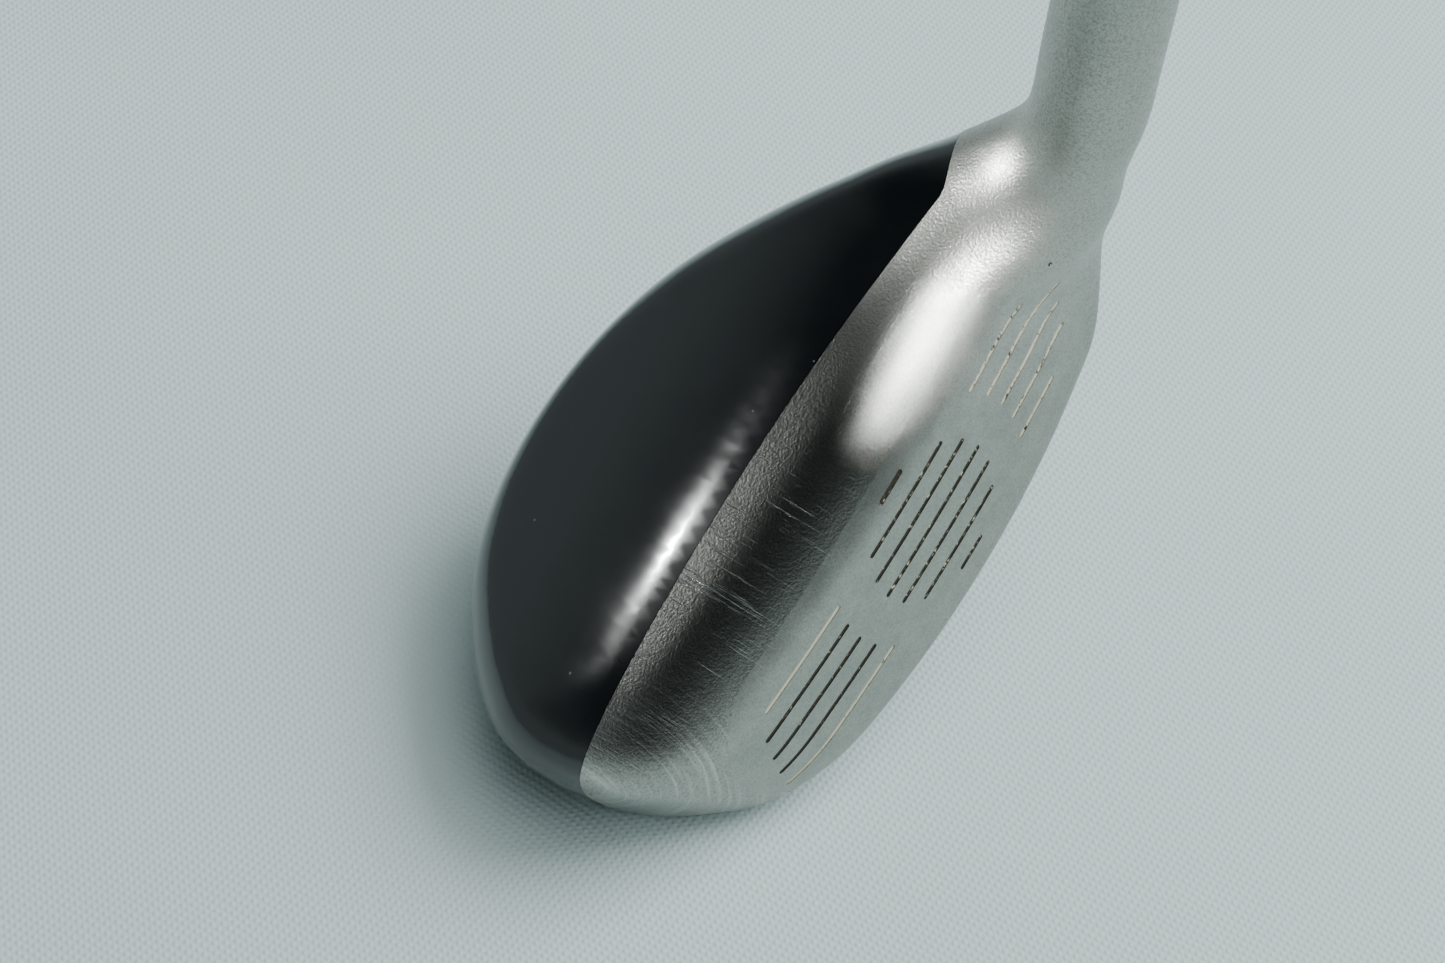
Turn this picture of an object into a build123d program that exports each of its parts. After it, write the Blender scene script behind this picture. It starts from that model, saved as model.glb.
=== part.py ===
"""Hybrid golf club, right-handed, built up from its real pieces.

Frame: the origin is the centre of the butt end of the grip, where its vent hole opens.
+Z runs up the shaft axis, +X points from the shaft towards the toe of the head, and
+Y points where the club face looks. The head is therefore near z = -1 m.

The skin of the head is worked out in the frame a club maker uses at address: h runs
horizontally to the toe, t horizontally to the target and u straight up, all measured
from the centre of the face. The lie angle turns one frame into the other.
"""

import os

import numpy as np
from build123d import *

os.makedirs("parts", exist_ok=True)

# ---------------------------------------------------------------- driving dimensions
club_length = 1003.0  # butt end to sole, measured down the shaft axis
lie = 59.0  # degrees between shaft and ground
face_loft = 21.0  # degrees the face leans back

# shaft axis, seen from the centre of the face
axis_h = -39.0
axis_t = -5.1

# face: heel-to-toe bulge and top-to-bottom roll
bulge_radius = 333.0
roll_radius = 300.0

# crown: level front band, then a slope down to the trailing edge
crown_height = 15.6
crown_rise = 0.015
crown_ridge_t = -15.0
crown_fall = 0.576
crown_ease = 10.0

# sole: cambered both ways
sole_level = -18.6
sole_camber_h = 170.0
sole_camber_t = 150.0
sole_low_t = -18.0

# outline seen from above
plan_t = -24.8
plan_toe_start = -7.4
plan_toe_length = 60.0
plan_back = 38.0
plan_front = 41.7
plan_power = 1.75
back_arc_centre = (60.0, 59.6)
back_arc_radius = 129.8

# outline seen from the front
front_u = -0.5
front_half_height = 19.0
front_toe_start = 26.0
front_toe_length = 33.0
front_heel_start = -12.0
front_heel_length = 32.0
front_power = 2.0

# edge radii of the head
topline_radius = 8.0
leading_edge_radius = 3.5
plan_edge_radius = 4.0
back_edge_radius = 20.0
front_edge_radius = 4.1
oval_softness = 1.0

# hosel: the socket that takes the shaft
hosel_radius = 7.3
hosel_flare = 0.004
hosel_start = 1.8
hosel_top = 56.0
neck_sweep = 8.0
neck_sweep_end = 26.0
neck_blend = 15.0
bore_radius = 4.85
bore_depth = 35.0
core_radius = 3.5
core_depth = 8.0

# walls and layers of the head
wall = 1.9
crown_step = 0.12
crown_thickness = 1.1
bond_thickness = 0.18
seam_gap = 0.12
ledge_width = 4.0
face_thickness = 2.4
face_plate_width = 75.5
face_plate_height = 27.0
face_plate_corner = 12.0
face_plate_middle_h = 2.75

# seam between crown and front band, seen from above
seam_t = -20.3
seam_h = 14.0
seam_sag = 700.0
skirt_level = -7.0

# face score lines
score_pitch = 3.6
score_width = 0.7
score_depth = 0.4

heel_line_ends = (24.4, 30.5, 32.0, 33.5, 28.2)
toe_line_ends = (37.4, 36.7, 35.7, 34.4, 31.5)
centre_line_circle = 11.1
side_line_circle = 17.0
fill_depth = 0.15

# screwed weight in the sole
weight_h = 6.0
weight_t = -27.0
weight_radius = 6.5
weight_bottom = -17.7
weight_height = 5.7
boss_radius = 9.5
boss_bottom = -17.0
boss_height = 6.2

# shaft, ferrule and grip
tip_radius = 4.7
tip_length = 76.0
butt_radius = 7.6
butt_length = 266.0
tip_wall = 2.5
butt_wall = 1.2
ferrule_length = 24.0
grip_length = 267.0
grip_butt_radius = 13.4
grip_mouth_radius = 8.9
cap_thickness = 4.5
vent_radius = 1.25

# ---------------------------------------------------------------- frames
sin_lie = np.sin(np.radians(lie))
cos_lie = np.cos(np.radians(lie))
sole_on_axis = sole_level / sin_lie
face_level_z = -club_length - sole_on_axis
to_toe = Vector(sin_lie, 0, -cos_lie)
to_target = Vector(0, 1, 0)
upwards = Vector(cos_lie, 0, sin_lie)


def at_address(h, t, u):
    """Turn an address position into a point of the club frame."""
    start = Vector(0, 0, face_level_z)
    return start + to_toe * (h - axis_h) + to_target * (t - axis_t) + upwards * u


def on_shaft(w):
    """Height in the club frame of a point w up the shaft axis from face level."""
    return face_level_z + w


# ---------------------------------------------------------------- skin of the head
def rounded_both(a, b, radius):
    """Inside both a and b, with the edge between them rounded."""
    inner = np.minimum(np.maximum(a, b), -radius)
    return inner + np.hypot(np.maximum(a + radius, 0), np.maximum(b + radius, 0))


def blended_either(a, b, radius):
    """Inside a or b, with the corner between them filled."""
    outer = np.maximum(np.minimum(a, b), radius)
    return outer - np.hypot(np.minimum(a - radius, 0), np.minimum(b - radius, 0))


def oval(a, b, power, scale):
    """Rounded-end outline: zero on the curve, negative inside."""
    softness = oval_softness / scale
    soft_b = np.hypot(b, softness) - softness
    return scale * ((np.abs(a) ** power + soft_b**power) ** (1 / power) - 1)


def head_distance(h, t, u):
    """Roughly how far a point lies outside the head without its hosel."""
    tilt = np.radians(face_loft)
    ahead = t * np.cos(tilt) + u * np.sin(tilt)
    along = u * np.cos(tilt) - t * np.sin(tilt)
    face = ahead + h**2 / (2 * bulge_radius) + along**2 / (2 * roll_radius)

    behind = crown_ridge_t - t
    behind = (behind + np.hypot(behind, 10.0)) / 2
    reach = np.hypot(behind, crown_ease)
    fall = crown_fall * (reach - crown_ease)
    steepness = crown_fall * behind / reach
    crown = (u - crown_height - crown_rise * h + fall) / np.hypot(1, steepness)

    camber = h**2 / (2 * sole_camber_h) + (t - sole_low_t) ** 2 / (2 * sole_camber_t)
    sole = sole_level + camber - u

    depth = np.where(t < plan_t, (plan_t - t) / plan_back, (t - plan_t) / plan_front)
    toe_part = np.maximum(h - plan_toe_start, 0) / plan_toe_length
    plan = oval(toe_part, depth, plan_power, plan_back)
    back_arc = np.hypot(h - back_arc_centre[0], t - back_arc_centre[1]) - back_arc_radius

    past_toe = np.maximum(h - front_toe_start, 0) / front_toe_length
    past_heel = np.maximum(front_heel_start - h, 0) / front_heel_length
    half_height = (u - front_u) / front_half_height
    front = oval(past_toe + past_heel, half_height, front_power, front_half_height)

    shape = rounded_both(face, crown, topline_radius)
    shape = rounded_both(shape, sole, leading_edge_radius)
    shape = rounded_both(shape, rounded_both(plan, back_arc, back_edge_radius), plan_edge_radius)
    return rounded_both(shape, front, front_edge_radius)


def skin_distance(h, t, u):
    """The head joined to its hosel through the swept neck."""
    w = (axis_h - h) * cos_lie + u * sin_lie
    across = (h - axis_h) * sin_lie + u * cos_lie
    swept = np.maximum(neck_sweep_end - w, 0) / neck_sweep_end
    forward = t - axis_t + neck_sweep * swept**2
    tube = np.hypot(across, forward) - hosel_radius - hosel_flare * (w - neck_sweep_end)
    hosel = rounded_both(tube, hosel_start - w, 5.0)
    return blended_either(head_distance(h, t, u), hosel, neck_blend)


# ---------------------------------------------------------------- sections of the skin
outline_points = 64
toe_tip_t = -24.8
toe_tip_u = -0.5
middle = (-22.0, -2.0)
neck_start_h = -20.0
neck_pivot = (-20.0, 38.0)
neck_steps = 8
hosel_steps = 5
toe_steps = 18


def outline(centre, up, inset, distance):
    """Points of the skin's outline in the plane that holds centre, t and up."""
    angle = np.linspace(-np.pi / 2, 1.5 * np.pi, 720, endpoint=False)
    inner = np.zeros_like(angle)
    outer = np.full_like(angle, 80.0)
    for _ in range(36):
        radius = (inner + outer) / 2
        h = centre[0] + radius * np.sin(angle) * up[0]
        t = centre[1] + radius * np.cos(angle)
        u = centre[2] + radius * np.sin(angle) * up[1]
        outside = distance(h, t, u) + inset > 0
        outer = np.where(outside, radius, outer)
        inner = np.where(outside, inner, radius)
    # spread the points along the curve, closer together where it turns
    x = radius * np.cos(angle)
    y = radius * np.sin(angle)
    step_x = (np.roll(x, -1) - np.roll(x, 1)) / 2
    step_y = (np.roll(y, -1) - np.roll(y, 1)) / 2
    heading = np.unwrap(np.arctan2(step_y, step_x))
    weight = np.hypot(step_x, step_y) + 6.0 * np.abs(np.gradient(heading))
    padded = np.concatenate([weight[-12:], weight, weight[:12]])
    weight = np.convolve(padded, np.ones(25) / 25, "valid")
    travelled = np.concatenate([[0], np.cumsum(weight)])
    share = np.arange(outline_points) / outline_points * travelled[-1]
    full_turn = np.append(angle, 1.5 * np.pi)
    chosen = np.interp(share, travelled, full_turn)
    reach = np.interp(chosen, full_turn, np.append(radius, radius[0]))
    return [Vector(r * np.cos(a), r * np.sin(a)) for r, a in zip(reach, chosen)]


def section(place, inset, distance):
    """One closed section of the skin as a flat face."""
    centre, up = place
    upright = to_toe * up[0] + upwards * up[1]
    plane = Plane(at_address(*centre), x_dir=to_target, z_dir=to_target.cross(upright))
    points = outline(centre, up, inset, distance)
    knots = [i / outline_points for i in range(outline_points + 1)]
    with BuildSketch(plane) as flat:
        with BuildLine():
            add(Edge.make_spline(points, periodic=True, parameters=knots))
        make_face()
    return flat.sketch.faces()[0]


def toe_tip_h(inset, distance):
    """Where the skin ends at the toe, found by halving."""
    inner, outer = 0.0, 80.0
    for _ in range(40):
        h = (inner + outer) / 2
        if distance(h, toe_tip_t, toe_tip_u) + inset > 0:
            outer = h
        else:
            inner = h
    return inner


def toe_places(start_h, inset, distance):
    """Upright section planes from the toe back to start_h, closer near the toe."""
    places = []
    end_h = toe_tip_h(inset, distance)
    for step in range(toe_steps + 1):
        share = np.sin(np.radians(90) * 0.96 * step / toe_steps)
        h = start_h + (end_h - start_h) * share
        pull = max(h / end_h, 0) ** 3
        t = middle[0] + (toe_tip_t - middle[0]) * pull
        u = middle[1] + (toe_tip_u - middle[1]) * pull
        places.append(((h, t, u), (0.0, 1.0)))
    return places[::-1]


def neck_places():
    """Section planes that fan round the crotch of the neck and climb the hosel."""
    places = []
    pivot_h, pivot_u = neck_pivot
    to_axis = (pivot_h - axis_h) * sin_lie + pivot_u * cos_lie
    from_middle = pivot_u - middle[1]
    for step in range(1, neck_steps + 1):
        turn = np.radians(lie) * step / neck_steps
        share = (step / neck_steps) ** 2 * (3 - 2 * step / neck_steps)
        up = (np.sin(turn), np.cos(turn))
        reach = from_middle + (to_axis - from_middle) * share
        t = middle[0] + (axis_t - middle[0]) * share
        places.append(((pivot_h - reach * up[0], t, pivot_u - reach * up[1]), up))
    foot = (axis_h - pivot_h) * cos_lie + pivot_u * sin_lie
    for step in range(1, hosel_steps + 1):
        w = foot + (hosel_top - foot) * step / hosel_steps
        places.append(((axis_h - w * cos_lie, axis_t, w * sin_lie), (sin_lie, cos_lie)))
    return places


def skin(inset):
    """Solid of everything deeper than inset below the skin, hosel included."""
    places = toe_places(neck_start_h, inset, skin_distance) + neck_places()
    with BuildPart() as solid:
        loft([section(place, inset, skin_distance) for place in places])
    return solid.part


# ---------------------------------------------------------------- shared solids
ledge_level = crown_step + crown_thickness + bond_thickness
skin_outer = skin(0)
skin_crown_top = skin(crown_step)
skin_crown_under = skin(crown_step + crown_thickness)
skin_ledge = skin(ledge_level)
skin_face_back = skin(face_thickness)
skin_line_floor = skin(score_depth)
skin_fill_top = skin(fill_depth)

cavity_heel_h = -30.0
cavity_places = toe_places(cavity_heel_h, wall, head_distance)
with BuildPart() as cavity:
    loft([section(place, wall, head_distance) for place in cavity_places])

face_plane = Plane(
    at_address(0, 0, 0),
    x_dir=to_toe,
    z_dir=to_target * np.cos(np.radians(face_loft)) + upwards * np.sin(np.radians(face_loft)),
)


def level_plane(h, t, u):
    """Plane level with the ground through an address position."""
    return Plane(at_address(h, t, u), x_dir=to_toe, z_dir=upwards)


# region of the crown, seen from above: a long flat arc that turns back behind the hosel
seam_toe = (62.0, seam_t + (62.0 - seam_h) ** 2 / seam_sag)
seam_turn = (-34.5, seam_t + (-34.5 - seam_h) ** 2 / seam_sag)
seam_heel = (-62.0, seam_turn[1] - 27.5 * 0.39)
zone_height = 40.0


def crown_zone(bottom, inset):
    """Prism over the crown region, drawn in by inset and starting at level bottom."""
    with BuildPart() as zone:
        with BuildSketch(level_plane(0, 0, bottom)) as region:
            with BuildLine() as edge:
                ThreePointArc(seam_toe, (seam_h, seam_t), seam_turn)
                Polyline(seam_turn, seam_heel, (-62, -75), (62, -75), seam_toe)
            make_face()
            kink = region.vertices().sort_by_distance(at_address(*seam_turn, bottom))[0]
            fillet(kink, radius=5)
            if inset > 0:
                offset(amount=-inset, mode=Mode.REPLACE)
        extrude(amount=zone_height)
    return zone.part


# ---------------------------------------------------------------- face plate
with BuildPart() as face_blank:
    with BuildSketch(face_plane.offset(-9)):
        with Locations((face_plate_middle_h, 0.25)):
            RectangleRounded(face_plate_width, face_plate_height, face_plate_corner)
    extrude(amount=15)
    add(skin_outer, mode=Mode.INTERSECT)
    add(skin_face_back, mode=Mode.SUBTRACT)

score_rows = [score_pitch * (2 - row) for row in range(5)]
line_groups = {"heel": [], "centre": [], "toe": []}
for v, heel_end, toe_end in zip(score_rows, heel_line_ends, toe_line_ends):
    inner_end = np.sqrt(side_line_circle**2 - v**2)
    line_groups["heel"].append((-(inner_end + heel_end) / 2, v, heel_end - inner_end))
    line_groups["toe"].append(((inner_end + toe_end) / 2, v, toe_end - inner_end))
for row in range(-3, 4):
    v = score_pitch * row
    line_groups["centre"].append((0, v, 2 * np.sqrt(centre_line_circle**2 - v**2)))


def line_prisms(lines):
    """Upright slots standing through the face, one for each score line."""
    with BuildPart() as prisms:
        with BuildSketch(face_plane.offset(-7)):
            for h, v, length in lines:
                with Locations((h, v)):
                    SlotOverall(length, score_width)
        extrude(amount=12)
    return prisms.part


with BuildPart() as face_plate:
    add(face_blank)
    for lines in line_groups.values():
        with BuildPart(mode=Mode.PRIVATE) as grooves:
            add(line_prisms(lines))
            add(skin_line_floor, mode=Mode.SUBTRACT)
        add(grooves, mode=Mode.SUBTRACT)
face_plate.part.label = "face_plate"
export_step(face_plate.part, "parts/face_plate.step")

# paint left in the score lines, one piece for each group
for group, lines in line_groups.items():
    with BuildPart() as score_fill:
        add(line_prisms(lines))
        add(skin_fill_top, mode=Mode.INTERSECT)
        add(skin_line_floor, mode=Mode.SUBTRACT)
    score_fill.part.label = f"score_fill_{group}"
    export_step(score_fill.part, f"parts/score_fill_{group}.step")

# ---------------------------------------------------------------- crown and its bond
with BuildPart() as ledge_opening:
    add(crown_zone(skirt_level + ledge_width, ledge_width))

with BuildPart() as crown_shell:
    add(crown_zone(skirt_level + seam_gap, seam_gap))
    add(skin_crown_top, mode=Mode.INTERSECT)
    add(skin_crown_under, mode=Mode.SUBTRACT)
crown_shell.part.label = "crown_shell"
export_step(crown_shell.part, "parts/crown_shell.step")

with BuildPart() as crown_bond:
    add(crown_zone(skirt_level + seam_gap, seam_gap))
    add(skin_crown_under, mode=Mode.INTERSECT)
    add(skin_ledge, mode=Mode.SUBTRACT)
    add(ledge_opening, mode=Mode.SUBTRACT)
crown_bond.part.label = "crown_bond"
export_step(crown_bond.part, "parts/crown_bond.step")

# ---------------------------------------------------------------- cast head body
with BuildPart() as crown_rebate:
    add(crown_zone(skirt_level, 0))
    add(skin_ledge, mode=Mode.SUBTRACT)

with BuildPart() as head_body:
    add(skin_outer)
    add(cavity, mode=Mode.SUBTRACT)
    # boss that holds the sole weight
    with BuildSketch(level_plane(weight_h, weight_t, boss_bottom)):
        Circle(boss_radius)
    extrude(amount=boss_height)
    with BuildSketch(level_plane(weight_h, weight_t, sole_level - 5)):
        Circle(weight_radius)
    extrude(amount=weight_bottom + weight_height - sole_level + 5, mode=Mode.SUBTRACT)
    # seats of the crown and the face plate
    add(crown_rebate, mode=Mode.SUBTRACT)
    add(ledge_opening, mode=Mode.SUBTRACT)
    add(face_blank, mode=Mode.SUBTRACT)
    # socket for the shaft, with a smaller core hole below it
    with BuildSketch(Plane.XY.offset(on_shaft(hosel_top))):
        Circle(bore_radius)
    extrude(amount=-bore_depth, mode=Mode.SUBTRACT)
    with BuildSketch(Plane.XY.offset(on_shaft(hosel_top - bore_depth))):
        Circle(core_radius)
    extrude(amount=-core_depth, mode=Mode.SUBTRACT)
head_body.part.label = "head_body"
export_step(head_body.part, "parts/head_body.step")

# ---------------------------------------------------------------- weights inside the head
with BuildPart() as sole_weight:
    with BuildSketch(level_plane(weight_h, weight_t, weight_bottom)):
        Circle(weight_radius)
    extrude(amount=weight_height)
    chamfer(sole_weight.edges().filter_by(GeomType.CIRCLE), length=0.5)
    # six-lobed key socket, open downwards
    with BuildSketch(level_plane(weight_h, weight_t, weight_bottom)):
        Circle(2.1)
        with PolarLocations(2.1, 6):
            Circle(0.75)
    extrude(amount=3.0, mode=Mode.SUBTRACT)
sole_weight.part.label = "sole_weight"
export_step(sole_weight.part, "parts/sole_weight.step")

with BuildPart() as rear_weight:
    with BuildSketch(level_plane(8, -47, -16)):
        RectangleRounded(34, 9, 3)
    extrude(amount=8)
    add(cavity, mode=Mode.INTERSECT)
rear_weight.part.label = "rear_weight"
export_step(rear_weight.part, "parts/rear_weight.step")

with BuildPart() as hot_melt_pad:
    with BuildSketch(level_plane(-16, -22, -18)):
        Circle(8)
    extrude(amount=4.6)
    add(cavity, mode=Mode.INTERSECT)
hot_melt_pad.part.label = "hot_melt_pad"
export_step(hot_melt_pad.part, "parts/hot_melt_pad.step")

# ---------------------------------------------------------------- shaft joint in the hosel
bore_floor = on_shaft(hosel_top - bore_depth)
pin_flange = 1.5
tip_z = bore_floor + pin_flange

with BuildPart() as hosel_plug:
    with BuildSketch(Plane.XY.offset(bore_floor - core_depth)):
        Circle(core_radius)
    extrude(amount=core_depth)
hosel_plug.part.label = "hosel_plug"
export_step(hosel_plug.part, "parts/hosel_plug.step")

with BuildPart() as tip_pin:
    with BuildSketch(Plane.XY.offset(bore_floor)):
        Circle(tip_radius - 0.3)
    extrude(amount=pin_flange)
    with BuildSketch(Plane.XY.offset(tip_z)):
        Circle(tip_radius - tip_wall)
    extrude(amount=22.0)
    chamfer(tip_pin.edges().filter_by(GeomType.CIRCLE).sort_by(Axis.Z)[-1], length=0.6)
tip_pin.part.label = "tip_pin"
export_step(tip_pin.part, "parts/tip_pin.step")

with BuildPart() as shaft_bond:
    with BuildSketch(Plane.XY.offset(tip_z)):
        Circle(bore_radius)
        Circle(tip_radius, mode=Mode.SUBTRACT)
    extrude(amount=on_shaft(hosel_top) - tip_z)
shaft_bond.part.label = "shaft_bond"
export_step(shaft_bond.part, "parts/shaft_bond.step")

# ---------------------------------------------------------------- shaft
butt_z = -cap_thickness
taper_low = tip_z + tip_length
taper_high = butt_z - butt_length


def shaft_radius_at(z):
    """Outer radius of the tapered shaft at height z."""
    share = (z - taper_low) / (taper_high - taper_low)
    return tip_radius + (butt_radius - tip_radius) * min(max(share, 0), 1)


with BuildPart() as shaft:
    with BuildSketch(Plane.XZ):
        with BuildLine():
            Polyline(
                (tip_radius - tip_wall, tip_z),
                (tip_radius, tip_z),
                (tip_radius, taper_low),
                (butt_radius, taper_high),
                (butt_radius, butt_z),
                (butt_radius - butt_wall, butt_z),
                (butt_radius - butt_wall, taper_high),
                (tip_radius - tip_wall, taper_low),
                close=True,
            )
        make_face()
    revolve(axis=Axis.Z)
shaft.part.label = "shaft"
export_step(shaft.part, "parts/shaft.step")

# thin printed sleeve round the shaft below the grip
band_top = -318.0
band_length = 34.0
band_thickness = 0.08
with BuildPart() as shaft_band:
    with BuildSketch(Plane.XZ):
        with BuildLine():
            Polyline(
                (shaft_radius_at(band_top), band_top),
                (shaft_radius_at(band_top) + band_thickness, band_top),
                (shaft_radius_at(band_top - band_length) + band_thickness, band_top - band_length),
                (shaft_radius_at(band_top - band_length), band_top - band_length),
                close=True,
            )
        make_face()
    revolve(axis=Axis.Z)
shaft_band.part.label = "shaft_band"
export_step(shaft_band.part, "parts/shaft_band.step")

# ---------------------------------------------------------------- ferrule
ferrule_foot = on_shaft(hosel_top)
hosel_top_radius = hosel_radius + hosel_flare * (hosel_top - neck_sweep_end)
ring_length = 1.6
ring_lift = 2.4

with BuildPart() as ferrule:
    with BuildSketch(Plane.XZ):
        with BuildLine():
            lower = Line((tip_radius, ferrule_foot), (hosel_top_radius, ferrule_foot))
            Polyline(
                lower @ 1,
                (hosel_top_radius, ferrule_foot + ring_lift),
                (hosel_top_radius - 0.5, ferrule_foot + ring_lift),
                (hosel_top_radius - 0.5, ferrule_foot + ring_lift + ring_length),
                (hosel_top_radius - 0.05, ferrule_foot + ring_lift + ring_length),
            )
            ThreePointArc(
                (hosel_top_radius - 0.05, ferrule_foot + ring_lift + ring_length),
                (6.5, ferrule_foot + 0.6 * ferrule_length),
                (tip_radius + 0.25, ferrule_foot + ferrule_length),
            )
            Polyline(
                (tip_radius + 0.25, ferrule_foot + ferrule_length),
                (tip_radius, ferrule_foot + ferrule_length),
                lower @ 0,
            )
        make_face()
    revolve(axis=Axis.Z)
ferrule.part.label = "ferrule"
export_step(ferrule.part, "parts/ferrule.step")

with BuildPart() as ferrule_ring:
    with BuildSketch(Plane.XY.offset(ferrule_foot + ring_lift)):
        Circle(hosel_top_radius + 0.02)
        Circle(hosel_top_radius - 0.5, mode=Mode.SUBTRACT)
    extrude(amount=ring_length)
ferrule_ring.part.label = "ferrule_ring"
export_step(ferrule_ring.part, "parts/ferrule_ring.step")

# ---------------------------------------------------------------- grip
tape_thickness = 0.15
tape_radius = butt_radius + tape_thickness
tape_foot = -grip_length + 6.0

with BuildPart() as grip_tape:
    with BuildSketch(Plane.XY.offset(tape_foot)):
        Circle(tape_radius)
        Circle(butt_radius, mode=Mode.SUBTRACT)
    extrude(amount=butt_z - tape_foot)
grip_tape.part.label = "grip_tape"
export_step(grip_tape.part, "parts/grip_tape.step")

with BuildPart() as grip_sleeve:
    with BuildSketch(Plane.XZ):
        with BuildLine():
            Polyline(
                (grip_butt_radius, butt_z),
                (tape_radius, butt_z),
                (tape_radius, tape_foot),
                (butt_radius, tape_foot),
                (butt_radius, -grip_length),
                (grip_mouth_radius, -grip_length),
                (grip_mouth_radius, -grip_length + 5.0),
            )
            Spline(
                (grip_mouth_radius, -grip_length + 5.0),
                (10.1, -150.0),
                (grip_butt_radius - 1.6, -40.0),
                (grip_butt_radius, butt_z),
            )
        make_face()
    revolve(axis=Axis.Z)
    mouth = grip_sleeve.edges().filter_by(GeomType.CIRCLE).sort_by(Axis.Z).group_by(Axis.Z)[0]
    fillet(mouth.sort_by(SortBy.RADIUS)[-1], radius=1.0)
grip_sleeve.part.label = "grip_sleeve"
export_step(grip_sleeve.part, "parts/grip_sleeve.step")

with BuildPart() as grip_cap:
    with BuildSketch(Plane.XY):
        Circle(grip_butt_radius)
    extrude(amount=-cap_thickness)
    fillet(grip_cap.edges().filter_by(GeomType.CIRCLE).sort_by(Axis.Z)[-1], radius=2.6)
    with BuildSketch(Plane.XY):
        Circle(vent_radius)
    extrude(amount=-cap_thickness, mode=Mode.SUBTRACT)
grip_cap.part.label = "grip_cap"
export_step(grip_cap.part, "parts/grip_cap.step")
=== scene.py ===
# %% [markdown]
# # Hybrid golf club, from frame to finish
# The frame is the solid model of the club: a cast steel head, a lacquered crown, a scored face
# plate, a ferrule, a carbon shaft and a rubber grip. Its shapes are right already, so this lesson
# is about surfaces: how a used club looks, and how light shows it. Everything is in metres.
# The shaft stands on the Z axis, and the toe of the head points towards +X and down.

# %% Load the frame
import math

import bmesh
import bpy
from mathutils import Matrix, Vector


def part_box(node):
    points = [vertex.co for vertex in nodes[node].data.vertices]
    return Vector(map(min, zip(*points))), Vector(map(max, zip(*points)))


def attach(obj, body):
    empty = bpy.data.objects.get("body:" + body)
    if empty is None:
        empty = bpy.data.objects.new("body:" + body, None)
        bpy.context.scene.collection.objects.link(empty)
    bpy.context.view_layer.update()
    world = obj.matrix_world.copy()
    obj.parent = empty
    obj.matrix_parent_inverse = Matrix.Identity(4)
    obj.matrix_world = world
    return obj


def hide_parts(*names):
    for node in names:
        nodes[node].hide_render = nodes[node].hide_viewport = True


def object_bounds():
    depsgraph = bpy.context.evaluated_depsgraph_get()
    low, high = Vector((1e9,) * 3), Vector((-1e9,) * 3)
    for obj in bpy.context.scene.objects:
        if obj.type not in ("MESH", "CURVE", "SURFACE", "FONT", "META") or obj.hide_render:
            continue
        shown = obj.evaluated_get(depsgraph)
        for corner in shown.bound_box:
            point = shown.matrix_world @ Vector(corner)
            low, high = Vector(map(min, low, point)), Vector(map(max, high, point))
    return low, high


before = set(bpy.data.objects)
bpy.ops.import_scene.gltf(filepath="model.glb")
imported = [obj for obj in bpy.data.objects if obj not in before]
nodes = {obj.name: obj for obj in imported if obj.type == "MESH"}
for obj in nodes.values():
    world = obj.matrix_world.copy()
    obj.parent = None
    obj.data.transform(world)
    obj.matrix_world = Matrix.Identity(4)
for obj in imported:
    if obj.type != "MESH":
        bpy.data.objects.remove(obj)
solid_lo, solid_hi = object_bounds()
print("club is", round((solid_hi - solid_lo).z * 1000), "mm long,", len(nodes), "pieces")

# %% [markdown]
# A golfer sees the head standing level on its sole, with the shaft leaning at the lie angle.
# Here the shaft is upright instead, so the head is turned by that angle. Three directions
# fixed to the head make every later position easy to say: towards the toe, towards the
# target, and up from the sole. The point they start from is the middle of the face.

# %% Directions of the head
LIE = math.radians(59)
LOFT = math.radians(21)
TO_TOE = Vector((math.sin(LIE), 0, -math.cos(LIE)))
TO_TARGET = Vector((0, 1, 0))
UPWARDS = Vector((math.cos(LIE), 0, math.sin(LIE)))
UP_THE_FACE = UPWARDS * math.cos(LOFT) - TO_TARGET * math.sin(LOFT)

PAINT_BELOW_SKIN = 0.0007
centre_lo, centre_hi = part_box("score_fill_centre")
FACE_CENTRE = (centre_lo + centre_hi) / 2 + TO_TARGET * PAINT_BELOW_SKIN


def at_head(toe, target, up):
    """Point given in millimetres from the middle of the face."""
    return FACE_CENTRE + (TO_TOE * toe + TO_TARGET * target + UPWARDS * up) / 1000


print("middle of the face", [round(c * 1000, 1) for c in FACE_CENTRE])

# %% [markdown]
# The camera looks down on the head from the target side, a forearm's length away. It is aimed
# by two points, and a third vector gives its roll. A long lens keeps the head's proportions.

# %% Camera
camera_data = bpy.data.cameras.new("close_camera")
camera_data.lens = 84.7
camera_data.sensor_width = 36.0
camera_data.clip_start = 0.02
camera_data.clip_end = 60.0
camera = bpy.data.objects.new("close_camera", camera_data)
bpy.context.scene.collection.objects.link(camera)
bpy.context.scene.camera = camera

eye = at_head(40.8, 103.53, 409.79)
aim = at_head(9.45, -24.27, 6.73)
looking = (aim - eye).normalized()
camera_up = Vector((-0.6168, -0.4787, 0.6249))
camera_right = looking.cross(camera_up).normalized()
camera_up = camera_right.cross(looking)
turn = Matrix((camera_right, camera_up, -looking)).transposed()
camera.matrix_world = Matrix.Translation(eye) @ turn.to_4x4()
print("camera is", round((aim - eye).length * 1000), "mm from its aim")

# %% [markdown]
# Materials are small node trees, and the same few steps return in each of them. These helpers
# add a node, join it up, and give the usual building blocks: a fine noise, a map from a range
# to another range, a mix of two colours and a bump. Each finish then reads like a recipe.


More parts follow.
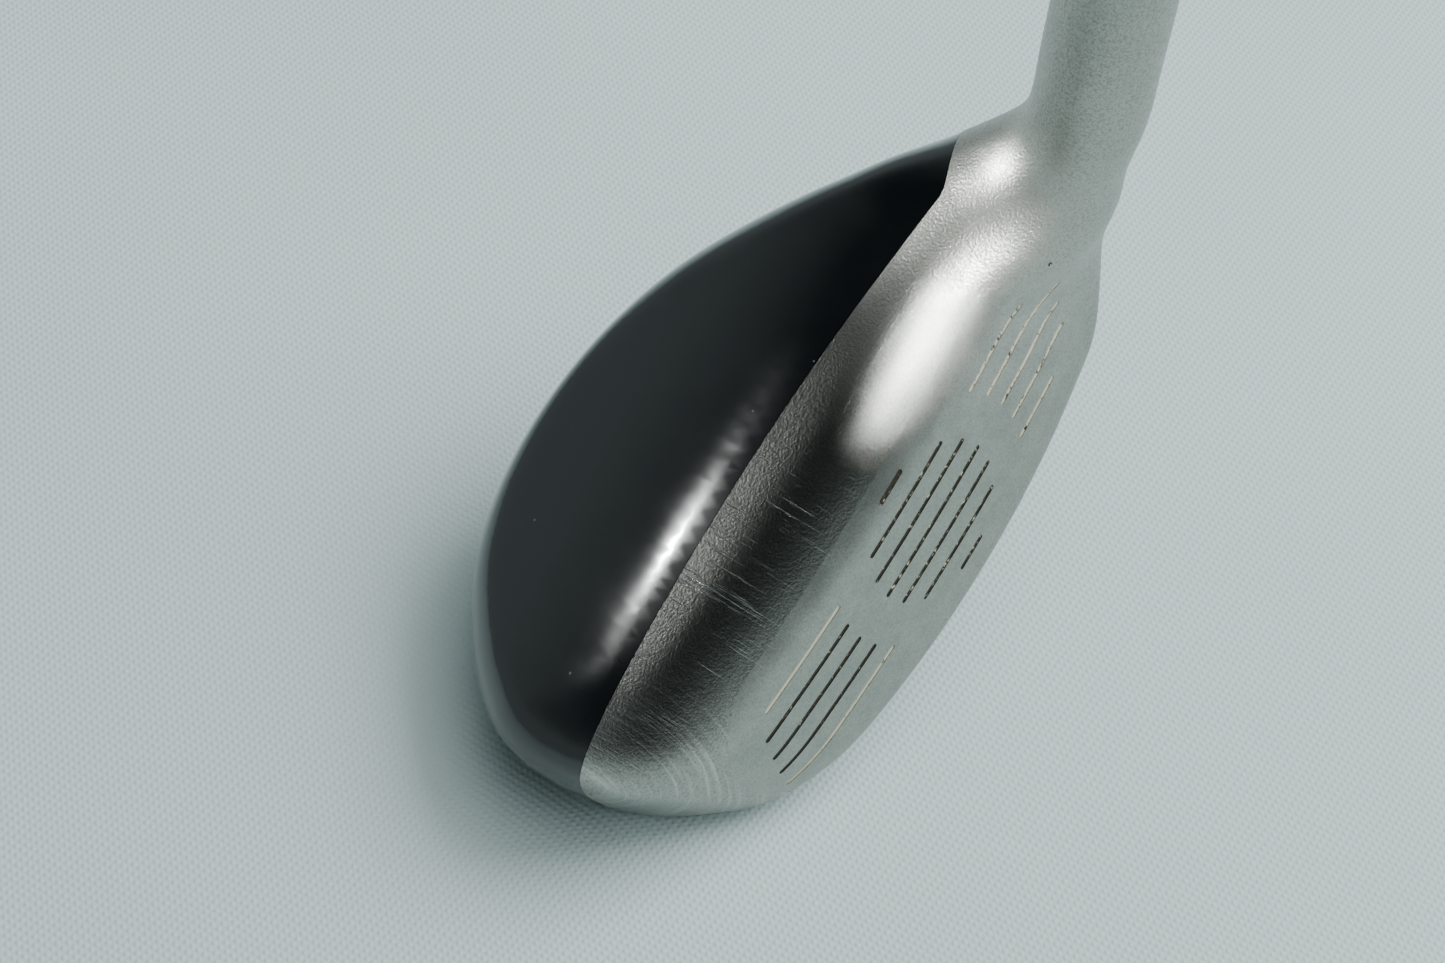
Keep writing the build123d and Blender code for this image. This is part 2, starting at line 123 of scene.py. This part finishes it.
# %% Helpers for finishes
def new_finish(name):
    """Empty material with its shader and the piece's own coordinates, in metres."""
    finish = bpy.data.materials.new(name)
    finish.use_nodes = True
    finish.node_tree.nodes.clear()
    shader = node(finish, "ShaderNodeBsdfPrincipled")
    output = node(finish, "ShaderNodeOutputMaterial")
    finish.node_tree.links.new(shader.outputs["BSDF"], output.inputs["Surface"])
    place = node(finish, "ShaderNodeTexCoord").outputs["Object"]
    return finish, shader, place


def node(finish, kind, inputs=None, **settings):
    """Adds a node. An input is a value, or another node's output to join to it."""
    made = finish.node_tree.nodes.new(kind)
    for key, value in settings.items():
        setattr(made, key, value)
    for key, value in (inputs or {}).items():
        if isinstance(value, bpy.types.NodeSocket):
            finish.node_tree.links.new(value, made.inputs[key])
        else:
            made.inputs[key].default_value = value
    return made


def join(finish, output, shader, name):
    finish.node_tree.links.new(output, shader.inputs[name])


def stretched(finish, place, scale):
    """Coordinates squeezed or stretched, so that a round pattern becomes a streaky one."""
    return node(finish, "ShaderNodeVectorMath", {0: place, 1: scale}, operation="MULTIPLY").outputs[0]


def noise(finish, place, scale, detail=2.0, roughness=0.5):
    inputs = {"Vector": place, "Scale": scale, "Detail": detail, "Roughness": roughness}
    return node(finish, "ShaderNodeTexNoise", inputs).outputs["Fac"]


def ramp(finish, value, low, high, start=0.0, end=1.0):
    """Takes low..high to start..end, and holds the ends."""
    inputs = {"Value": value, "From Min": low, "From Max": high, "To Min": start, "To Max": end}
    return node(finish, "ShaderNodeMapRange", inputs).outputs["Result"]


def maths(finish, operation, first, second):
    return node(finish, "ShaderNodeMath", {0: first, 1: second}, operation=operation).outputs[0]


def blend(finish, amount, first, second):
    """Goes from the first colour to the second as amount goes from 0 to 1."""
    made = node(finish, "ShaderNodeMix", data_type="RGBA")
    for index, value in ((0, amount), (6, first), (7, second)):
        if isinstance(value, bpy.types.NodeSocket):
            finish.node_tree.links.new(value, made.inputs[index])
        elif index == 0:
            made.inputs[index].default_value = value
        else:
            made.inputs[index].default_value = (*value, 1) if len(value) == 3 else value
    return made.outputs[2]


def bump(finish, height, depth, under=None, strength=1.0):
    """Turns a height of 0..1 into relief of that depth in metres."""
    inputs = {"Height": height, "Distance": depth, "Strength": strength}
    if under is not None:
        inputs["Normal"] = under
    return node(finish, "ShaderNodeBump", inputs).outputs["Normal"]


def along(finish, place, direction, origin):
    """How far, in millimetres, a point lies from origin in a direction."""
    offset = node(finish, "ShaderNodeVectorMath", {0: place, 1: origin}, operation="SUBTRACT")
    inputs = {0: offset.outputs[0], 1: direction * 1000}
    return node(finish, "ShaderNodeVectorMath", inputs, operation="DOT_PRODUCT").outputs["Value"]


def head_place(finish, place):
    """Toe, target and up distances of a point, in millimetres from the middle of the face."""
    parts = [along(finish, place, way, FACE_CENTRE) for way in (TO_TOE, TO_TARGET, UPWARDS)]
    joined = node(finish, "ShaderNodeCombineXYZ", dict(enumerate(parts)))
    return joined.outputs[0], parts


def coat_with(finish, *names):
    """Gives CAD pieces this finish."""
    for name in names:
        nodes[name].data.materials.clear()
        nodes[name].data.materials.append(finish)
        for polygon in nodes[name].data.polygons:
            polygon.material_index = 0
    print(finish.name, "on", ", ".join(names))


# %% [markdown]
# The head stands on a white woven cloth. Only its colour and the faint weave matter: crossed
# bands give the threads, and slow noise paints the light and shade of soft folds into the colour.
# The floor touches the lowest point of the toe.

# %% Cloth floor
cloth, cloth_shader, place = new_finish("white_cloth")
threads = []
for axis in ("X", "Y"):
    inputs = {"Vector": place, "Scale": 330.0, "Distortion": 1.5, "Detail": 1.0, "Detail Scale": 0.6}
    wave = node(cloth, "ShaderNodeTexWave", inputs, bands_direction=axis)
    threads.append(wave.outputs["Fac"])
weave = maths(cloth, "MULTIPLY", *threads)
# painted shade: slow noise lightens and darkens the flat cloth's colour as soft folds would catch and lose
# light
fold_shade = noise(cloth, place, 6.0, 3.0)
shade = blend(cloth, ramp(cloth, fold_shade, 0.35, 0.65), (0.61, 0.755, 0.755), (0.67, 0.82, 0.82))
shade = blend(cloth, ramp(cloth, weave, 0.0, 1.0, 0.10, 0.0), shade, (0.45, 0.52, 0.53))
join(cloth, shade, cloth_shader, "Base Color")
join(cloth, bump(cloth, weave, 0.00012), cloth_shader, "Normal")
cloth_shader.inputs["Roughness"].default_value = 0.95
cloth_shader.inputs["Specular IOR Level"].default_value = 0.15

floor_mesh = bpy.data.meshes.new("cloth_floor")
floor_grid = bmesh.new()
bmesh.ops.create_grid(floor_grid, x_segments=8, y_segments=8, size=60.0)
floor_grid.to_mesh(floor_mesh)
floor_grid.free()
floor_mesh.materials.append(cloth)
floor = bpy.data.objects.new("cloth_floor", floor_mesh)
floor.location = (0, 0, solid_lo.z)
bpy.context.scene.collection.objects.link(floor)
print("floor at", round(solid_lo.z * 1000, 1), "mm")

# %% [markdown]
# Satin steel shows light as broad soft shapes and gloss lacquer shows it as crisp ones, so the
# room matters as much as the lamps. The room is bright near the horizon and dark overhead, and
# the steel face mostly reflects the pale cloth. A wide lamp and a soft sky lamp light the cloth
# and cast the shadow, and are left out of reflections. Three small lamps only draw highlights:
# the glow on the neck, the spot on the shoulder and the line on the crown. The two kinds don't
# mix, so each can be changed alone. The lamps themselves stay out of view.


# %% Room and lamps
def direction_to(azimuth, elevation):
    """Unit vector by degrees round Z from +X, and degrees above level."""
    round_z, above = math.radians(azimuth), math.radians(elevation)
    level = math.cos(above)
    return Vector((math.cos(round_z) * level, math.sin(round_z) * level, math.sin(above)))


def add_lamp(name, target, azimuth, elevation, distance, size, power, spread=180, for_cloth=False):
    """Soft rectangular lamp, placed by its direction from a target point and turned to face it."""
    lamp_data = bpy.data.lights.new(name, "AREA")
    lamp_data.shape = "RECTANGLE"
    lamp_data.size, lamp_data.size_y = size
    lamp_data.energy = power
    lamp_data.spread = math.radians(spread)
    lamp_data.color = (0.98, 1.0, 0.995)
    lamp = bpy.data.objects.new(name, lamp_data)
    way = direction_to(azimuth, elevation)
    lamp.location = target + way * distance
    lamp.rotation_mode = "QUATERNION"
    lamp.rotation_quaternion = way.to_track_quat("Z", "Y")
    lamp.visible_camera = False
    lamp.visible_glossy = not for_cloth
    lamp.visible_diffuse = for_cloth
    bpy.context.scene.collection.objects.link(lamp)
    print(name, "at", [round(c, 2) for c in lamp.location])


head_middle = at_head(10, -15, 0)
add_lamp("floor_fill", head_middle, 142, 50, 0.85, (0.6, 0.5), 6.5, for_cloth=True)
add_lamp("neck_key", at_head(-28, -9, 13), 58, 46, 0.35, (0.03, 0.03), 0.010, spread=3)
add_lamp("crown_strip", at_head(21, -24, 13), -75, 31, 0.6, (0.010, 0.016), 0.0007, spread=8)
add_lamp("shoulder_glow", at_head(-38, -14, 12), -51, 19, 0.35, (0.02, 0.02), 0.003, spread=3)

sky_light_data = bpy.data.lights.new("sky_light", "SUN")
sky_light_data.energy = 1.9
sky_light_data.angle = math.radians(70)
sky_light_data.color = (0.97, 1.0, 1.0)
sky_light = bpy.data.objects.new("sky_light", sky_light_data)
sky_light.rotation_mode = "QUATERNION"
sky_light.rotation_quaternion = direction_to(110, 70).to_track_quat("Z", "Y")
sky_light.visible_glossy = False
bpy.context.scene.collection.objects.link(sky_light)

room = bpy.data.worlds.new("room")
bpy.context.scene.world = room
room.use_nodes = True
room.node_tree.nodes.clear()
sky = node(room, "ShaderNodeBackground", {"Strength": 1.0})
room_output = node(room, "ShaderNodeOutputWorld")
room.node_tree.links.new(sky.outputs[0], room_output.inputs["Surface"])
sky_place = node(room, "ShaderNodeTexCoord").outputs["Generated"]
height = node(room, "ShaderNodeSeparateXYZ", {0: sky_place}).outputs["Z"]
level_light = ramp(room, height, 0.25, 0.56)
join(room, blend(room, level_light, (0.34, 0.39, 0.40), (0.012, 0.014, 0.015)), sky, "Color")

# %% [markdown]
# The head is cast in stainless steel, then blasted with glass beads. The beads leave a satin skin
# of tiny dents that sparkle, so the base is a metal of middling roughness, with a fine noise
# and small cells in its relief and a dark speckle in its colour. Years of use add the rest:
# short scratches that run from front to back over the top edge, longer bent ones at the toe,
# and a few dark pits on the neck. The scratches are real wear, and their lighter colour is a
# painted glint of the light their burnished lines catch.

# %% Blasted steel
STEEL_DARK = (0.36, 0.365, 0.335)
STEEL_LIGHT = (0.46, 0.465, 0.43)
# real scratch wear, painted lighter: this colour is a painted glint of the light burnished lines catch
SCRATCH_WEAR_AND_GLINT = (0.80, 0.79, 0.76)
PIT_BROWN = (0.06, 0.04, 0.03)
SHORT_SCRATCH_SQUEEZE = (2.6, 0.10, 0.10)
LONG_SCRATCH_SQUEEZE = (1.7, 0.05, 0.05)
SCRATCH_GLINT_SHARE = 0.8
SCRATCH_SHINE = 0.12


def top_scratches(finish, on_head, toe_way, up_way):
    """Short front-to-back scratches on the top edge, from mid-length to the toe."""
    squeezed = stretched(finish, on_head, SHORT_SCRATCH_SQUEEZE)
    short_scratch = ramp(finish, noise(finish, squeezed, 1.0, 3.0, 0.7), 0.56, 0.70)
    patchy = ramp(finish, noise(finish, on_head, 0.16, 2.0), 0.42, 0.60)
    from_mid = ramp(finish, toe_way, -16.0, 4.0)
    on_top = ramp(finish, up_way, 9.0, 15.0)
    top_wear = maths(finish, "MULTIPLY", maths(finish, "MULTIPLY", from_mid, on_top), patchy)
    return maths(finish, "MULTIPLY", short_scratch, top_wear)


steel, steel_shader, place = new_finish("blasted_steel")
on_head, (toe_way, target_way, up_way) = head_place(steel, place)

grain = noise(steel, place, 3200.0, 2.0, 0.6)
dents = node(steel, "ShaderNodeTexVoronoi", {"Vector": place, "Scale": 2300.0})
cloudy = noise(steel, place, 130.0, 4.0)

bent = maths(steel, "ADD", toe_way, maths(steel, "MULTIPLY", up_way, 0.35))
bent_place = node(steel, "ShaderNodeCombineXYZ", {0: bent, 1: target_way, 2: up_way}).outputs[0]
toe_sweep = stretched(steel, bent_place, LONG_SCRATCH_SQUEEZE)
long_scratch = ramp(steel, noise(steel, toe_sweep, 1.0, 4.0, 0.7), 0.50, 0.72)
toe_wear = ramp(steel, toe_way, 26.0, 42.0)
scratches = maths(
    steel, "MAXIMUM",
    top_scratches(steel, on_head, toe_way, up_way),
    maths(steel, "MULTIPLY", maths(steel, "MULTIPLY", long_scratch, toe_wear), 0.6),
)

pit_cells = node(steel, "ShaderNodeTexVoronoi", {"Vector": place, "Scale": 210.0})
pit_chance = node(steel, "ShaderNodeSeparateColor", {0: pit_cells.outputs["Color"]}).outputs[0]
pit_here = ramp(steel, pit_chance, 0.86, 0.88)
pits = maths(steel, "MULTIPLY", ramp(steel, pit_cells.outputs["Distance"], 0.07, 0.045), pit_here)

metal = blend(steel, cloudy, STEEL_DARK, STEEL_LIGHT)
metal = blend(steel, ramp(steel, grain, 0.42, 0.66, 0.0, 0.5), metal, (0.17, 0.175, 0.16))
# painted glint: the scratch mask lightens the steel colour, on top of the smoother and dented scratch surface
metal = blend(steel, maths(steel, "MULTIPLY", scratches, SCRATCH_GLINT_SHARE), metal, SCRATCH_WEAR_AND_GLINT)
metal = blend(steel, maths(steel, "MULTIPLY", pits, 0.9), metal, PIT_BROWN)
join(steel, metal, steel_shader, "Base Color")
steel_shader.inputs["Metallic"].default_value = 1.0
satin = ramp(steel, grain, 0.3, 0.7, 0.33, 0.45)
satin = maths(steel, "SUBTRACT", satin, maths(steel, "MULTIPLY", scratches, SCRATCH_SHINE))
join(steel, satin, steel_shader, "Roughness")
relief = bump(steel, grain, 0.00006, strength=0.9)
relief = bump(steel, dents.outputs["Distance"], 0.00004, under=relief, strength=0.5)
relief = bump(steel, maths(steel, "SUBTRACT", 1.0, scratches), 0.00006, under=relief, strength=0.8)
relief = bump(steel, maths(steel, "SUBTRACT", 1.0, pits), 0.0002, under=relief)
join(steel, relief, steel_shader, "Normal")
coat_with(steel, "head_body")

# %% [markdown]
# The face plate is the same steel, ground level before the lines are cut. It is a little
# smoother than the casting, with faint marks from balls and a mottle of small dark flecks.
# It ends at the same skin as the body, and on a new club the joint is ground away.

# %% Ground face
face_steel, face_shader, place = new_finish("face_steel")
on_head, (toe_way, _, up_way) = head_place(face_steel, place)
grain = noise(face_steel, place, 3400.0, 2.0, 0.6)
GRINDING_SQUEEZE = (0.12, 3.0, 3.0)
grinding = noise(face_steel, stretched(face_steel, on_head, GRINDING_SQUEEZE), 1.0, 3.0, 0.6)
mottle = noise(face_steel, place, 260.0, 5.0, 0.65)
flecks = ramp(face_steel, noise(face_steel, place, 900.0, 3.0, 0.7), 0.66, 0.74)
scratches = top_scratches(face_steel, on_head, toe_way, up_way)

metal = blend(face_steel, ramp(face_steel, mottle, 0.35, 0.65), STEEL_DARK, STEEL_LIGHT)
metal = blend(face_steel, ramp(face_steel, grain, 0.42, 0.66, 0.0, 0.4), metal, (0.19, 0.195, 0.18))
metal = blend(face_steel, maths(face_steel, "MULTIPLY", flecks, 0.5), metal, (0.24, 0.22, 0.19))
# painted glint: real scratches on the top edge of the face, lightened in colour to stand in for the light
# they catch
metal = blend(face_steel, maths(face_steel, "MULTIPLY", scratches, SCRATCH_GLINT_SHARE), metal, SCRATCH_WEAR_AND_GLINT)
join(face_steel, metal, face_shader, "Base Color")
face_shader.inputs["Metallic"].default_value = 1.0
satin = ramp(face_steel, mottle, 0.3, 0.7, 0.32, 0.44)
satin = maths(face_steel, "SUBTRACT", satin, maths(face_steel, "MULTIPLY", scratches, SCRATCH_SHINE))
join(face_steel, satin, face_shader, "Roughness")
relief = bump(face_steel, grain, 0.00005, strength=0.5)
relief = bump(face_steel, grinding, 0.00002, under=relief, strength=0.3)
scratch_floor = maths(face_steel, "SUBTRACT", 1.0, scratches)
relief = bump(face_steel, scratch_floor, 0.00006, under=relief, strength=0.8)
join(face_steel, relief, face_shader, "Normal")
coat_with(face_steel, "face_plate")

# %% [markdown]
# Paint was wiped into the score lines and has half worn out. Some lines still hold cream paint
# and some only dark dirt. The line a point belongs to comes from its distance up the face,
# divided by the pitch of 3.6 mm, so one finish can keep the outer lines cream and the inner
# ones dark. Noise breaks both up into flecks.

# %% Worn line paint
PITCH = 3.6
DIRT = (0.035, 0.030, 0.022)
CREAM = (0.66, 0.62, 0.47)
cream_cover = {"toe": (0.12, 0.86), "centre": (0.24, 0.24), "heel": (0.70, 0.70)}
for group, (inner_cover, outer_cover) in cream_cover.items():
    paint, paint_shader, place = new_finish("line_paint_" + group)
    up_face = along(paint, place, UP_THE_FACE, FACE_CENTRE)
    line_number = maths(paint, "ABSOLUTE", maths(paint, "DIVIDE", up_face, PITCH), 0.0)
    cover = ramp(paint, line_number, 1.45, 1.55, inner_cover, outer_cover)
    crumbs = noise(paint, place, 1500.0, 3.0, 0.7)
    spread = ramp(paint, crumbs, 0.30, 0.70)
    painted = ramp(paint, maths(paint, "SUBTRACT", cover, spread), -0.06, 0.06)
    join(paint, blend(paint, painted, DIRT, CREAM), paint_shader, "Base Color")
    join(paint, ramp(paint, crumbs, 0.3, 0.7, 0.65, 0.9), paint_shader, "Roughness")
    join(paint, bump(paint, crumbs, 0.0001), paint_shader, "Normal")
    coat_with(paint, "score_fill_" + group)

# %% [markdown]
# The crown is a thin steel cap with black lacquer under a clear coat. Nearly all of its look is
# reflection, so the base is almost black and smooth, with a coat of its own over it. Dust
# specks, a faint haze of wiping marks and a very slight wave stop it from looking like glass.

# %% Black lacquer
lacquer, lacquer_shader, place = new_finish("black_lacquer")
haze = noise(lacquer, place, 55.0, 4.0, 0.6)
dust_cells = node(lacquer, "ShaderNodeTexVoronoi", {"Vector": place, "Scale": 420.0})
dust_chance = node(lacquer, "ShaderNodeSeparateColor", {0: dust_cells.outputs["Color"]}).outputs[0]
dust_size = ramp(lacquer, dust_chance, 0.80, 1.0, 0.0, 0.075)
dust = maths(lacquer, "LESS_THAN", dust_cells.outputs["Distance"], dust_size)
black = blend(lacquer, haze, (0.004, 0.006, 0.007), (0.008, 0.011, 0.012))
black = blend(lacquer, maths(lacquer, "MULTIPLY", dust, 0.35), black, (0.42, 0.44, 0.44))
join(lacquer, black, lacquer_shader, "Base Color")
join(lacquer, ramp(lacquer, haze, 0.3, 0.7, 0.10, 0.17), lacquer_shader, "Roughness")
lacquer_shader.inputs["Coat Weight"].default_value = 0.6
lacquer_shader.inputs["Coat Roughness"].default_value = 0.06
ripple = noise(lacquer, place, 90.0, 1.0)
join(lacquer, bump(lacquer, ripple, 0.00002, strength=0.1), lacquer_shader, "Normal")
coat_with(lacquer, "crown_shell")

# %% [markdown]
# The shaft is carbon fibre under a clear coat. Fibres lie along it, so the noise is stretched
# along Z, and the coat gives a clean highlight on top. The printed band above the ferrule is
# silver ink under the same coat, and is only a little rougher.


# %% Shaft and band
def coated_fibre(name, dark, light, metallic):
    fibre, fibre_shader, place = new_finish(name)
    strands = noise(fibre, stretched(fibre, place, (2600.0, 2600.0, 45.0)), 1.0, 3.0, 0.6)
    rub = noise(fibre, stretched(fibre, place, (60.0, 60.0, 900.0)), 1.0, 3.0, 0.6)
    join(fibre, blend(fibre, ramp(fibre, strands, 0.3, 0.7), dark, light), fibre_shader, "Base Color")
    join(fibre, ramp(fibre, rub, 0.3, 0.75, 0.22, 0.36), fibre_shader, "Roughness")
    join(fibre, bump(fibre, strands, 0.00003, strength=0.4), fibre_shader, "Normal")
    fibre_shader.inputs["Metallic"].default_value = metallic
    fibre_shader.inputs["Coat Weight"].default_value = 0.8
    fibre_shader.inputs["Coat Roughness"].default_value = 0.08
    return fibre


coat_with(coated_fibre("graphite", (0.030, 0.033, 0.037), (0.075, 0.080, 0.088), 0.3), "shaft")
coat_with(coated_fibre("band_print", (0.40, 0.42, 0.45), (0.58, 0.60, 0.63), 0.7), "shaft_band")

# %% [markdown]
# The ferrule is turned from black plastic and polished with solvent, and the ring let into it
# is bright metal. Both were made on a lathe, so their fine lines run round them: the noise
# is squeezed along Z and left long the other way.


# %% Turned pieces
def turned(name, dark, light, metallic, rough_from, rough_to, line_depth):
    made, shader, place = new_finish(name)
    lines = noise(made, stretched(made, place, (40.0, 40.0, 5200.0)), 1.0, 2.0, 0.6)
    marks = noise(made, place, 420.0, 4.0, 0.65)
    join(made, blend(made, ramp(made, marks, 0.3, 0.7), dark, light), shader, "Base Color")
    join(made, ramp(made, marks, 0.3, 0.7, rough_from, rough_to), shader, "Roughness")
    join(made, bump(made, lines, line_depth, strength=0.5), shader, "Normal")
    shader.inputs["Metallic"].default_value = metallic
    return made


# for each piece: finish, dark and light colour, metallic, roughness from and to, line depth
turned_pieces = {
    "ferrule": ("ferrule_plastic", (0.010, 0.010, 0.011), (0.022, 0.022, 0.024), 0.0, 0.14, 0.28, 0.00001),
    "ferrule_ring": ("ring_metal", (0.70, 0.70, 0.70), (0.84, 0.84, 0.83), 1.0, 0.18, 0.32, 0.00002),
    "sole_weight": ("tungsten_screw", (0.30, 0.305, 0.31), (0.44, 0.445, 0.45), 1.0, 0.28, 0.45, 0.00004),
    "tip_pin": ("brass", (0.56, 0.41, 0.17), (0.72, 0.56, 0.27), 1.0, 0.25, 0.4, 0.00003),
}
for piece, recipe in turned_pieces.items():
    coat_with(turned(*recipe), piece)

# %% [markdown]
# The rest is hidden inside the club: a cast weight, glue lines, a blob of tacky hot melt, a cork
# plug and paper tape. A cutaway shows them, so each still gets its own grain. One recipe serves
# them all: two colours mixed by a coarse noise, and relief from a fine one.


# %% Hidden pieces
def hidden(name, dark, light, coarse, fine, depth, rough, metallic=0.0):
    made, shader, place = new_finish(name)
    patches = noise(made, place, coarse, 4.0, 0.6)
    grit = noise(made, place, fine, 3.0, 0.65)
    join(made, blend(made, ramp(made, patches, 0.32, 0.68), dark, light), shader, "Base Color")
    join(made, ramp(made, grit, 0.3, 0.7, rough - 0.1, rough), shader, "Roughness")
    join(made, bump(made, grit, depth, strength=0.6), shader, "Normal")
    shader.inputs["Metallic"].default_value = metallic
    return made


# for each piece: finish, dark and light colour, coarse and fine scale, depth, roughness, metallic
hidden_pieces = {
    "rear_weight": ("tungsten_block", (0.24, 0.245, 0.25), (0.36, 0.365, 0.37), 300, 1800, 0.0001, 0.62, 1.0),
    "crown_bond": ("structural_adhesive", (0.60, 0.56, 0.44), (0.74, 0.71, 0.60), 200, 900, 0.0001, 0.7),
    "hot_melt_pad": ("hot_melt", (0.56, 0.44, 0.20), (0.74, 0.63, 0.38), 120, 500, 0.0002, 0.45),
    "hosel_plug": ("cork", (0.30, 0.17, 0.08), (0.60, 0.42, 0.25), 1100, 1700, 0.0003, 0.95),
    "shaft_bond": ("epoxy", (0.56, 0.52, 0.36), (0.70, 0.66, 0.50), 250, 1200, 0.00005, 0.5),
    "grip_tape": ("paper_tape", (0.62, 0.56, 0.40), (0.74, 0.68, 0.52), 700, 2600, 0.00006, 0.92),
}
for piece, recipe in hidden_pieces.items():
    coat_with(hidden(*recipe), piece)

# %% [markdown]
# The grip is moulded rubber, and its pattern is what the hands hold. The solid sleeve is only
# its outer shape, so a mesh stands in for it: rings of points from the mouth to the cap, each
# pushed in a little where the mould has a groove. Small slanted dashes cover two panels, and
# plain collars with fine rings part them. The grooves only go inwards, so the size stays.

# %% Grip pattern
sleeve_lo, sleeve_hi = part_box("grip_sleeve")
SLEEVE_BOTTOM, SLEEVE_TOP = sleeve_lo.z, sleeve_hi.z
SLEEVE_LENGTH = SLEEVE_TOP - SLEEVE_BOTTOM
MOUTH_RADIUS = 0.0089
CAP_RADIUS = (sleeve_hi.x - sleeve_lo.x) / 2
GROOVE = 0.00045
DASHES_ROUND = 22
DASH_RISE = 0.0042


def in_panel(share):
    """True where the mould has the dash pattern, by share of the length from the mouth."""
    return 0.05 < share < 0.47 or 0.53 < share < 0.95


def groove_at(share, round_share):
    """How much of the full groove is cut at a point of the grip, 0 to 1."""
    if in_panel(share):
        row = share * SLEEVE_LENGTH / DASH_RISE
        lean = row * 0.5 if int(row) % 2 else -row * 0.5
        across = (round_share * DASHES_ROUND + lean) % 1.0
        in_row = row % 1.0
        from_edges = (across, 0.52 - across, in_row - 0.12, 0.88 - in_row)
        return max(0.0, min(1.0, min(from_edges) / 0.12))
    ring = (share * SLEEVE_LENGTH / 0.0022) % 1.0
    return 0.6 * max(0.0, min(1.0, min(ring / 0.15, (0.45 - ring) / 0.15)))


def grip_radius(share):
    """Outer radius of the plain sleeve: a rounded mouth, then an even taper to the cap."""
    straight = MOUTH_RADIUS + (CAP_RADIUS - MOUTH_RADIUS) * share
    from_mouth = share * SLEEVE_LENGTH
    return straight - 0.0004 * max(0.0, 1 - from_mouth / 0.0008) ** 2


# %% Grip mesh
RINGS = 460
POINTS_ROUND = 176
grip_mesh = bpy.data.meshes.new("moulded_grip")
grip_shape = bmesh.new()
rows = []
for ring in range(RINGS + 1):
    share = ring / RINGS
    height_here = SLEEVE_BOTTOM + share * SLEEVE_LENGTH
    row = []
    for step in range(POINTS_ROUND):
        angle = 2 * math.pi * step / POINTS_ROUND
        radius = grip_radius(share) - GROOVE * groove_at(share, step / POINTS_ROUND)
        across, deep = radius * math.cos(angle), radius * math.sin(angle)
        row.append(grip_shape.verts.new((across, deep, height_here)))
    rows.append(row)
inner_radius = 0.0077  # over the tape at the mouth
for height_here in (SLEEVE_TOP, SLEEVE_BOTTOM):
    row = []
    for step in range(POINTS_ROUND):
        angle = 2 * math.pi * step / POINTS_ROUND
        across, deep = inner_radius * math.cos(angle), inner_radius * math.sin(angle)
        row.append(grip_shape.verts.new((across, deep, height_here)))
    rows.append(row)
rows.append(rows[0])
for lower, upper in zip(rows, rows[1:]):
    for step in range(POINTS_ROUND):
        after = (step + 1) % POINTS_ROUND
        grip_shape.faces.new((lower[step], lower[after], upper[after], upper[step]))
bmesh.ops.recalc_face_normals(grip_shape, faces=grip_shape.faces)
grip_shape.to_mesh(grip_mesh)
grip_shape.free()
grip = bpy.data.objects.new("moulded_grip", grip_mesh)
bpy.context.scene.collection.objects.link(grip)
for polygon in grip_mesh.polygons:
    polygon.use_smooth = True
print("grip has", len(grip_mesh.polygons), "faces")

# %% [markdown]
# Rubber is black, dull and never quite even. A fine grain gives the skin of the mould, and a
# slow noise gives patches that hands have polished. The cap is smoother, with faint rings.


# %% Rubber
def rubber(name, dark, light, rough_from, rough_to):
    made, shader, place = new_finish(name)
    skin = noise(made, place, 2400.0, 3.0, 0.65)
    handled = noise(made, place, 45.0, 3.0, 0.6)
    join(made, blend(made, ramp(made, handled, 0.35, 0.65), dark, light), shader, "Base Color")
    join(made, ramp(made, handled, 0.35, 0.65, rough_from, rough_to), shader, "Roughness")
    join(made, bump(made, skin, 0.00008, strength=0.7), shader, "Normal")
    shader.inputs["Sheen Weight"].default_value = 0.08
    return made


grip_mesh.materials.append(rubber("grip_rubber", (0.012, 0.012, 0.013), (0.026, 0.026, 0.027), 0.55, 0.75))
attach(grip, "root")
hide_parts("grip_sleeve")
coat_with(rubber("cap_rubber", (0.018, 0.018, 0.019), (0.034, 0.034, 0.035), 0.45, 0.6), "grip_cap")

# %% Sizes and finish
print("solid", [round(c, 4) for c in solid_hi - solid_lo])
